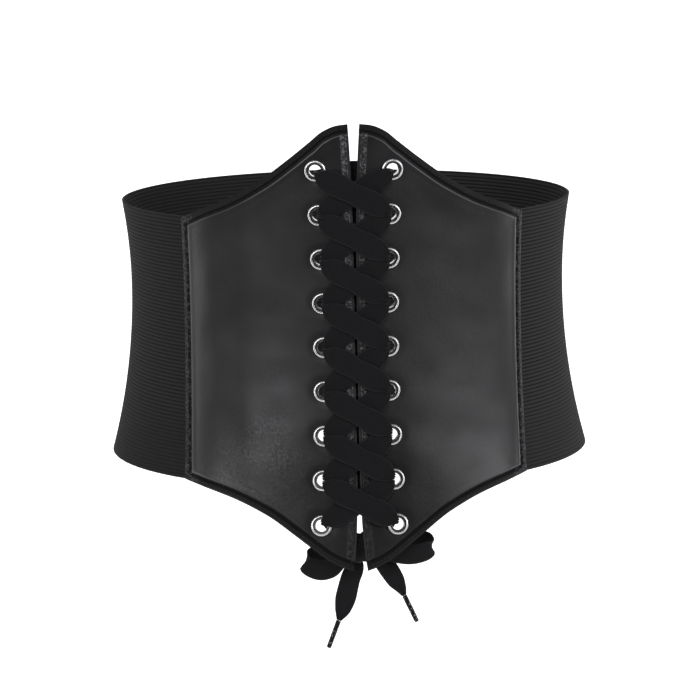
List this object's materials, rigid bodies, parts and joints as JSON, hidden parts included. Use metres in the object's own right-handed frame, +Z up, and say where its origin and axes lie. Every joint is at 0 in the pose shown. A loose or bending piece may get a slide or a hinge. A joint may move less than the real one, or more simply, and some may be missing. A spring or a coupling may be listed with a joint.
{
  "type": "corset belt",
  "caption": "Waist corset belt with pointed leather front panels laced through metal eyelets, a bow behind the lower tips, and ribbed elastic round the sides and back.",
  "frame": {"origin": "on the axis of the waist that the belt is worn round, at half the height of the elastic", "axes": "+Z up along the waist, front of the belt faces -Y, +X is to the right as the picture shows it"},
  "size_m": [0.238, 0.2217, 0.2521],
  "materials": {
    "leather": "semi-gloss smooth leather with fine grain",
    "elastic": "matte ribbed elastic webbing",
    "lace": "matte flat woven lace",
    "eyelet_metal": "polished nickel",
    "aglet": "gloss"
  },
  "bodies": {
    "root": {"left_panel": "leather", "right_panel": "leather", "elastic_left": "elastic", "elastic_right": "elastic", "back_closure": "leather", "lace": "lace", "bow_knot": "lace", "lace_end_left": "lace", "lace_end_right": "lace", "aglet_left": "aglet", "aglet_right": "aglet", "eyelet_left_1": "eyelet_metal", "eyelet_left_2": "eyelet_metal", "eyelet_left_3": "eyelet_metal", "eyelet_left_4": "eyelet_metal", "eyelet_left_5": "eyelet_metal", "eyelet_left_6": "eyelet_metal", "eyelet_left_7": "eyelet_metal", "eyelet_left_8": "eyelet_metal", "eyelet_left_9": "eyelet_metal", "eyelet_right_1": "eyelet_metal", "eyelet_right_2": "eyelet_metal", "eyelet_right_3": "eyelet_metal", "eyelet_right_4": "eyelet_metal", "eyelet_right_5": "eyelet_metal", "eyelet_right_6": "eyelet_metal", "eyelet_right_7": "eyelet_metal", "eyelet_right_8": "eyelet_metal", "eyelet_right_9": "eyelet_metal"}
  },
  "joints": []
}
